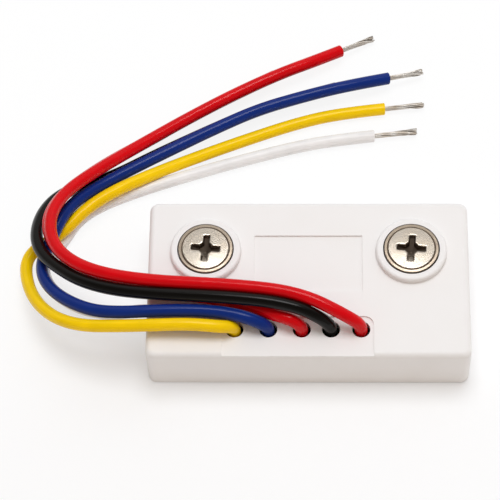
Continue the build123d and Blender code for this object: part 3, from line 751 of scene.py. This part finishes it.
steelLook = {
    "turnedSize": 0.07 * mm,
    "grainSize": 0.25 * mm,
    "grainDepth": 0.006 * mm,
    "stainSize": 2.2 * mm,
    "stainReach": (0.4, 0.75),
    "plate": tone(212, 202, 189),
    "stained": tone(190, 178, 162),
    "ring": tone(162, 146, 128),
    # painted shade: the tone that the groove and the cross recess darken to with depth
    "paintedRecessShade": tone(96, 80, 66),
    "ringShare": 0.8,
    "recessShadeShare": 0.88,
    "ringFrom": 5.32 * mm,  # distances from the screw's axis
    "grooveMiddle": 5.14 * mm,
    "grooveHalf": 0.17 * mm,
    "recessTo": 3.3 * mm,
    "recessShadeTop": 0.12 * mm,  # depths below the top of the head
    "grooveFull": 0.36 * mm,
    "recessFull": 0.8 * mm,
    "frontReach": (0.2 * mm, -1.4 * mm),  # along y from the axis: the front wing of the cross, which faces the light, gets less painted shade
    "frontLitShare": 0.9,
    "roughness": (0.12, 0.08, 0.06, 0.3, 0.14),  # plain, and what grain, stain, the shaded recess and groove, and the ring add
}


def steelFinish(name, axis):
    # plated steel: fine rings turned round the axis, soft stains, a duller ring outside the groove, and
    # painted shade low in the groove and in the recess, less of it in the front wing, which faces the
    # light
    look = steelLook
    finish = Finish(name)
    x, y, z = finish.axes(finish.place)
    radius = ((x - axis[0]).math("POWER", 2.0) + (y - axis[1]).math("POWER", 2.0)).math("SQRT")
    turned = finish.node("ShaderNodeCombineXYZ", None, {"X": radius, "Y": z})
    rings = finish.noise(look["turnedSize"], vector=turned)
    grain = finish.noise(look["grainSize"], detail=3.0)
    stain = finish.patches(look["stainSize"], look["stainReach"])
    top = screwShape["top"]
    # painted shade: darker deeper in the cross recess and the groove, and less of it in the front wing,
    # which faces the light
    front = finish.ramp(y - axis[1], *look["frontReach"])
    recess = finish.ramp(z, top - look["recessShadeTop"], top - look["recessFull"])
    recess = recess * (radius < look["recessTo"]) * (1.0 - look["frontLitShare"] * front)
    ring = radius > look["ringFrom"]
    groove = finish.ramp(z, top - look["recessShadeTop"], top - look["grooveFull"])
    groove = groove * (abs(radius - look["grooveMiddle"]) < look["grooveHalf"])
    paintedRecessShade = (recess + groove) * look["recessShadeShare"]
    plate = finish.blend(stain, look["plate"], look["stained"])
    plate = finish.blend(ring * look["ringShare"], plate, look["ring"])
    plain, grainy, stained, shadedRough, ringed = look["roughness"]
    return finish.surface({
        "Base Color": finish.blend(paintedRecessShade, plate, look["paintedRecessShade"]),
        "Roughness": plain + grain * grainy + stain * stained + paintedRecessShade * shadedRough + ring * ringed,
        "Metallic": 1.0,
        "Normal": finish.bump(rings * 0.5 + grain * 0.5, look["grainDepth"]),
    })


def addCoverScrew(side, axis):
    # the profile turned round the screw's axis, in rows from the tip to the middle of the head
    radii, heights, angles = screwProfile()
    x = axis[0] + radii * np.cos(angles)
    y = axis[1] + radii * np.sin(angles)
    grid = np.stack([x, y, heights], axis=-1)
    skin = np.stack([radii, np.broadcast_to(angles, radii.shape), heights], axis=-1).reshape(-1, 3)
    screw = closedSurface(f"cover_screw_{side}_detailed", [grid], [skin, skin[:1], skin[-1:]])
    screw.data.materials.append(steelFinish(f"cover_screw_{side}_finish", axis))
    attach(screw, f"{side}_screw")
    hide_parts(f"cover_screw_{side}")


for side, axis in screwShape["places"].items():
    addCoverScrew(side, axis)
print("cover screws made")


# Finishes of the parts that keep their CAD shape.
housingLook = {
    "cover": (0.85, 0.825, 0.808, 1.0),
    "coverDull": (0.84, 0.812, 0.792, 1.0),
    "base": (0.80, 0.78, 0.75, 1.0),
    "baseDullShare": 0.94,
    "cloudSize": 9.0 * mm,
    "cloudReach": (0.35, 0.75),
    "sparkSize": 0.22 * mm,
    "sparkDepth": 0.012 * mm,
    "sinkSize": 14.0 * mm,
    "sinkDepth": 0.05 * mm,
    # painted shade: the colour the foot of the walls turns to, standing in for the shadow where the
    # housing meets the floor
    "paintedFootShade": (0.34, 0.3, 0.26, 1.0),
    "paintedFootShadeReach": (0.34 * mm, 0.2 * mm),  # heights at which it starts and is full
    "roughness": (0.4, 0.16),  # plain, and what the grain adds
    "ior": 1.48,
}


def mouldedFinish(name, colour, dull):
    # satin plastic: spark-eroded grain, broad shallow sinks, slow clouds of yellowing, and painted shade
    # at the foot, a dark line along the lowest part of the walls
    look = housingLook
    finish = Finish(name)
    grain = finish.noise(look["sparkSize"], detail=4.0)
    clouds = finish.patches(look["cloudSize"], look["cloudReach"])
    broad = finish.bump(finish.noise(look["sinkSize"], detail=1.0), look["sinkDepth"])
    _, _, height = finish.axes(finish.place)
    # painted shade: darker towards the floor over the lowest 0.34 mm of every wall
    paintedFootShade = finish.ramp(height, *look["paintedFootShadeReach"])
    plain, grainy = look["roughness"]
    return finish.surface({
        "Base Color": finish.blend(paintedFootShade, finish.blend(clouds, colour, dull), look["paintedFootShade"]),
        "Roughness": plain + grain * grainy,
        "Normal": finish.bump(grain, look["sparkDepth"], broad),
        "IOR": look["ior"],
    })


# bright and dull tone of each plain metal, the size of their patches, and its roughness
metals = {
    "spring_steel": ((0.36, 0.35, 0.34, 1.0), (0.24, 0.23, 0.22, 1.0), 1.2 * mm, 0.3),
    "zinc": ((0.66, 0.67, 0.7, 1.0), (0.5, 0.5, 0.53, 1.0), 0.9 * mm, 0.28),
    "solder": ((0.75, 0.75, 0.76, 1.0), (0.6, 0.6, 0.6, 1.0), 0.8 * mm, 0.2),
}
metalGrain = {"sizeShare": 0.1, "depth": 0.006 * mm, "roughness": 0.15, "patchReach": (0.35, 0.7)}


def metalFinish(name):
    # plain plated metal: two tones in patches and a fine grain
    bright, dull, size, roughness = metals[name]
    finish = Finish(f"{name}_finish")
    patches = finish.patches(size, metalGrain["patchReach"])
    grain = finish.noise(size * metalGrain["sizeShare"], detail=3.0)
    return finish.surface({
        "Base Color": finish.blend(patches, bright, dull),
        "Roughness": roughness + grain * metalGrain["roughness"],
        "Metallic": 1.0,
        "Normal": finish.bump(grain, metalGrain["depth"]),
    })


insertLook = {
    "knurls": 48.0,
    "knurlDepth": 0.08 * mm,
    "brass": (0.72, 0.49, 0.17, 1.0),
    "tarnish": (0.5, 0.32, 0.1, 1.0),
    "tarnishSize": 1.5 * mm,
    "tarnishReach": (0.4, 0.7),
    "roughness": (0.26, 0.2),  # plain, and what tarnish adds
}


def insertFinish(name, axis):
    # brass with straight knurls: height = sine of their number times the angle round the insert's axis
    look = insertLook
    finish = Finish(name)
    x, y, _ = finish.axes(finish.place)
    angle = (y - axis[1]).math("ARCTAN2", x - axis[0])
    knurls = (angle * look["knurls"]).math("SINE")
    tarnish = finish.patches(look["tarnishSize"], look["tarnishReach"])
    plain, tarnished = look["roughness"]
    return finish.surface({
        "Base Color": finish.blend(tarnish, look["brass"], look["tarnish"]),
        "Roughness": plain + tarnish * tarnished,
        "Metallic": 1.0,
        "Normal": finish.bump(knurls, look["knurlDepth"]),
    })


boardLook = {
    "tracks": {
        "Scale": 1.0, "Mortar Size": 0.22 * mm, "Mortar Smooth": 0.3, "Brick Width": 5.2 * mm,
        "Row Height": 1.3 * mm,
    },
    "weaveSize": 0.5 * mm,
    "mask": (0.012, 0.12, 0.045, 1.0),
    "maskOnTrack": (0.03, 0.24, 0.09, 1.0),
    "laminate": (0.42, 0.36, 0.16, 1.0),
    "edgeBelow": 0.5,  # how far upright the surface stands
    "roughness": (0.3, 0.12, 0.35),  # plain, and what weave and bare edges add
    "weaveHeight": 0.2,
    "trackDepth": 0.03 * mm,
}


def boardFinish(name):
    # solder mask over square-set tracks on both faces, and bare laminate where the normal lies flat
    look = boardLook
    finish = Finish(name)
    sockets = {"Vector": finish.place, **look["tracks"]}
    tracks = finish.node("ShaderNodeTexBrick", None, sockets, output="Fac")
    weave = finish.noise(look["weaveSize"])
    _, _, upright = finish.axes(finish.node("ShaderNodeNewGeometry", output="Normal"))
    edge = abs(upright) < look["edgeBelow"]
    plain, woven, bare = look["roughness"]
    mask = finish.blend(tracks, look["mask"], look["maskOnTrack"])
    return finish.surface({
        "Base Color": finish.blend(edge, mask, look["laminate"]),
        "Roughness": plain + weave * woven + edge * bare,
        "Normal": finish.bump(tracks + weave * look["weaveHeight"], look["trackDepth"]),
    })


# colour, roughness and metal of each material on the board
materials = {
    "tin": ((0.72, 0.71, 0.68, 1.0), 0.32, 1.0),
    "epoxy": ((0.028, 0.028, 0.03, 1.0), 0.5, 0.0),
    "aluminium": ((0.76, 0.77, 0.79, 1.0), 0.26, 1.0),
    "film": ((0.62, 0.42, 0.05, 1.0), 0.3, 0.0),
    "ceramic": ((0.42, 0.38, 0.32, 1.0), 0.5, 0.0),
    "tan": ((0.44, 0.3, 0.17, 1.0), 0.45, 0.0),
    "red": ((0.5, 0.03, 0.025, 1.0), 0.3, 0.0),
    "white": ((0.82, 0.82, 0.79, 1.0), 0.32, 0.0),
}
partLook = {
    "grainSize": 0.15 * mm,
    "cloudSize": 1.8 * mm,
    "dullShare": 0.85,
    "grainRoughness": 0.14,
    "polish": 0.05,
    "grainDepth": 0.008 * mm,
    "tailRoughness": 0.32,  # of the leads' ends inside the housing
}


def partFinish(name, first, second=None, pickMask=None):
    # the first material all over, or where the mask is 0, with the second where it is 1
    look = partLook
    finish = Finish(name)
    grain = finish.noise(look["grainSize"], detail=3.0)
    clouds = finish.noise(look["cloudSize"])
    colour = finish.blend(clouds, darker(first[0], look["dullShare"]), first[0])
    rough = first[1] + grain * look["grainRoughness"] - look["polish"]
    metal = first[2]
    if pickMask:
        mask = pickMask(*finish.axes(finish.place))
        other = finish.blend(clouds, darker(second[0], look["dullShare"]), second[0])
        colour = finish.blend(mask, colour, other)
        rough = mask * (second[1] - first[1]) + rough
        metal = mask * (second[2] - first[2]) + first[2]
    return finish.surface({
        "Base Color": colour,
        "Roughness": rough,
        "Metallic": metal,
        "Normal": finish.bump(grain, look["grainDepth"]),
    })


# Places on the board: the middle of each package along y and half of its depth, past which are its feet.
packages = {
    "microcontroller": (-1.0 * mm, 3.75 * mm),
    "bridge_rectifier": (-7.5 * mm, 1.95 * mm),
    "surge_suppressor": (-13.4 * mm, 1.8 * mm),
    "voltage_regulator": (-5.8 * mm, 1.75 * mm),
}
switchBody = (11.3 * mm, 3.5 * mm)
boardPlaces = {
    "feetGap": 0.005 * mm,
    "canFoot": 6.42 * mm,
    "lidFoot": 6.1 * mm,
    "coreBelow": 6.599 * mm,  # height at which five tails are stripped
    "whiteCoreFrom": -30.405 * mm,  # x at which the white one is
}
chipPlaces = {
    "rightFirst": 19.7 * mm,
    "leftFirst": -24.0 * mm,
    "backFirst": 24.0 * mm,
    "pitch": 3.0 * mm,
    "columnFirst": -1.2 * mm,
    "columnPitch": 2.9 * mm,
    "backFrom": 10.0 * mm,
    "capFrom": 0.68 * mm,
}


def feetBeyond(middle, half):
    # 1 where y is further from the package's middle than half of its depth
    return lambda x, y, z: abs(y - middle) > (half + boardPlaces["feetGap"])


def capsInRow(place, first, pitch):
    # 1 near both ends of each chip, the first of them with its middle here and the rest one pitch apart
    return abs((place - first + pitch / 2.0) % pitch - pitch / 2.0) > chipPlaces["capFrom"]


def resistorCaps(x, y, z):
    # two rows along x, one on each side of the board's middle
    right = x > 0.0
    near = capsInRow(x, chipPlaces["rightFirst"], chipPlaces["pitch"])
    far = capsInRow(x, chipPlaces["leftFirst"], chipPlaces["pitch"])
    return near * right + far * (1.0 - right)


def ceramicCaps(x, y, z):
    # the row at the back has its caps along x, the column in the middle along y
    back = y > chipPlaces["backFrom"]
    row = capsInRow(x, chipPlaces["backFirst"], chipPlaces["pitch"])
    column = capsInRow(y, chipPlaces["columnFirst"], chipPlaces["columnPitch"])
    return row * back + column * (1.0 - back)


def canMask(x, y, z):
    # 1 on the aluminium can above its plastic foot
    return z > boardPlaces["canFoot"]


def lidMask(x, y, z):
    # 1 on the crystal's plated lid above its base
    return z > boardPlaces["lidFoot"]


def tailMask(x, y, z):
    # 1 on the bare core, which is all that lies below the strip
    return z < boardPlaces["coreBelow"]


def whiteTailMask(x, y, z):
    # 1 on the bare core, which is all that lies further in than the strip
    return x > boardPlaces["whiteCoreFrom"]


def dress(finish, *nodes):
    # the finish goes into every material slot of these CAD nodes
    for node in nodes:
        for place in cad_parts[node].material_slots:
            place.material = finish


def dressPart(name, nodes, first, second=None, pickMask=None):
    # a finish of one or two of the materials, on these CAD nodes
    dress(partFinish(f"{name}_finish", materials[first], materials.get(second), pickMask), *nodes)


def dressCadNodes():
    # every CAD node that stays in sight, or shows when the cover is off
    base = housingLook["base"]
    dress(mouldedFinish("cover_finish", housingLook["cover"], housingLook["coverDull"]), "housing_cover")
    dress(mouldedFinish("base_finish", base, darker(base, housingLook["baseDullShare"])), "base_plate")
    dress(metalFinish("spring_steel"), "captive_ring_left", "captive_ring_right")
    for side, axis in screwShape["places"].items():
        dress(insertFinish(f"insert_{side}_finish", axis), f"thread_insert_{side}")
    dress(boardFinish("board_finish"), "circuit_board")
    dress(metalFinish("zinc"), "board_screws")
    dress(metalFinish("solder"), "lead_solder_joints")
    for name, (middle, half) in packages.items():
        dressPart(name, [name], "epoxy", "tin", feetBeyond(middle, half))
    dressPart("can", ["smoothing_capacitor"], "epoxy", "aluminium", canMask)
    dressPart("film", ["film_capacitor"], "film")
    dressPart("crystal", ["crystal"], "ceramic", "tin", lidMask)
    dressPart("resistor", ["resistors"], "epoxy", "tin", resistorCaps)
    dressPart("ceramic", ["ceramic_capacitors"], "tan", "tin", ceramicCaps)
    dressPart("switch", ["address_switch_body"], "red", "tin", feetBeyond(*switchBody))
    dressPart("slider", [f"address_slider_{way}" for way in range(1, 9)], "white")
    for colour in leadRoutes:
        paint = (paints[colour.split("_")[0]], partLook["tailRoughness"], 0.0)
        mask = whiteTailMask if colour == "white" else tailMask
        finish = partFinish(f"{colour}_tail_finish", paint, materials["tin"], mask)
        dress(finish, f"lead_{colour}_tail")


dressCadNodes()
print("CAD nodes dressed")

# Studio: a pale floor, two soft lamps above and a little behind, and a sky that is brighter at the back.
studio = {
    "floorHalf": 20.0,
    "floorDrop": 0.02 * mm,
    "floorTone": (0.97, 0.97, 0.97, 1.0),
    "floorGlow": (0.24, 0.88),  # at glowFrom and behind glowTo
    "glowFrom": -12.0 * mm,
    "glowTo": 36.0 * mm,
    "glowSlant": 0.35,
    "lampDistance": 0.9,
    # azimuth, elevation, size, energy, colour and the rays that miss it: the key gives light and shadow
    # without a glint, the rim only the glint along the leads and the steel
    "lamps": {
        "key_lamp": (166.0, 79.0, 0.45, 3.95, (0.95, 0.985, 1.03), "visible_glossy"),
        "rim_lamp": (165.0, 76.0, 0.33, 2.2, (1.0, 1.0, 1.0), "visible_diffuse"),
    },
    "skyFront": (0.575, 0.495, 0.425, 1.0),
    "skyLeft": (0.34, 0.32, 0.30, 1.0),
    "skyBack": (0.73, 0.76, 0.79, 1.0),
    "gleamFront": (0.10, 0.09, 0.08, 1.0),
    "gleamLow": (0.38, 0.36, 0.34, 1.0),
    "gleamBack": (0.85, 0.85, 0.84, 1.0),
    # parts of a direction, x, y or z, over which each tone turns into the next
    "backTurn": (-0.6, 0.6),
    "leftTurn": (-0.1, -0.95),
    "wallTurn": (0.12, 0.7),
    "wallRise": (0.1, 0.6),
    "lowTurn": (0.75, 0.3),
}


def addFloor(look):
    # a square; for the camera, and in metal, part of its light is an even white glow, more of it
    # towards the back and the left
    half = look["floorHalf"]
    mesh = bpy.data.meshes.new("floor")
    height = -look["floorDrop"]
    corners = [(-half, -half, height), (half, -half, height), (half, half, height), (-half, half, height)]
    mesh.from_pydata(corners, [], [(0, 1, 2, 3)])
    floor = bpy.data.objects.new("floor", mesh)
    bpy.context.scene.collection.objects.link(floor)
    finish = Finish("floor_finish")
    finish.surface({"Base Color": look["floorTone"], "Roughness": 1.0, "Specular IOR Level": 0.0})
    kinds = ("Is Camera Ray", "Is Glossy Ray", "Is Transmission Ray")
    rays = [finish.node("ShaderNodeLightPath", output=kind) for kind in kinds]
    seen = rays[0].math("MAXIMUM", rays[1]).math("MAXIMUM", rays[2])
    sideways, backwards, _ = finish.axes(finish.place)
    front, back = look["floorGlow"]
    share = finish.ramp(backwards - sideways * look["glowSlant"], look["glowFrom"], look["glowTo"])
    share = share * (back - front) + front
    glow = finish.node("ShaderNodeEmission", None, {"Color": (1.0, 1.0, 1.0, 1.0), "Strength": 1.0})
    diffuse = Signal(finish.tree, finish.shader.outputs[0])
    mixed = finish.node("ShaderNodeMixShader", None, {0: seen * share, 1: diffuse, 2: glow})
    finish.feed(finish.tree.nodes["Material Output"].inputs["Surface"], mixed)
    mesh.materials.append(finish.material)


def addSky(look):
    # the front colour turns to the back one as a direction's y grows and to the left one as its x falls;
    # what shines shows a dark room in front, darkest overhead, and a bright wall high at the back
    world = bpy.data.worlds.new("sky")
    world.use_nodes = True
    sky = Tree(world.node_tree)
    sideways, backwards, upwards = sky.axes(sky.node("ShaderNodeTexCoord", output="Generated"))
    soft = sky.blend(sky.ramp(backwards, *look["backTurn"]), look["skyFront"], look["skyBack"])
    soft = sky.blend(sky.ramp(sideways, *look["leftTurn"]), soft, look["skyLeft"])
    wall = sky.ramp(backwards, *look["wallTurn"]) * sky.ramp(upwards, *look["wallRise"])
    gleam = sky.blend(sky.ramp(upwards, *look["lowTurn"]), look["gleamFront"], look["gleamLow"])
    gleam = sky.blend(wall, gleam, look["gleamBack"])
    mirrored = sky.node("ShaderNodeLightPath", output="Is Glossy Ray")
    sky.feed(world.node_tree.nodes["Background"].inputs["Color"], sky.blend(mirrored, soft, gleam))
    bpy.context.scene.world = world


def addLamp(name, azimuth, elevation, size, energy, colour, hiddenFrom):
    # a square lamp at distance * direction that faces the housing
    direction = skyDirection(azimuth, elevation)
    data = bpy.data.lights.new(name, "AREA")
    data.size, data.energy, data.color = size, energy, colour
    lamp = bpy.data.objects.new(name, data)
    bpy.context.scene.collection.objects.link(lamp)
    lamp.location = direction * studio["lampDistance"]
    lamp.rotation_euler = (-direction).to_track_quat("-Z", "Y").to_euler()
    setattr(lamp, hiddenFrom, False)


addFloor(studio)
addSky(studio)
for name, lampLook in studio["lamps"].items():
    addLamp(name, *lampLook)
bpy.context.scene.view_settings.view_transform = "Standard"
print("studio lit")
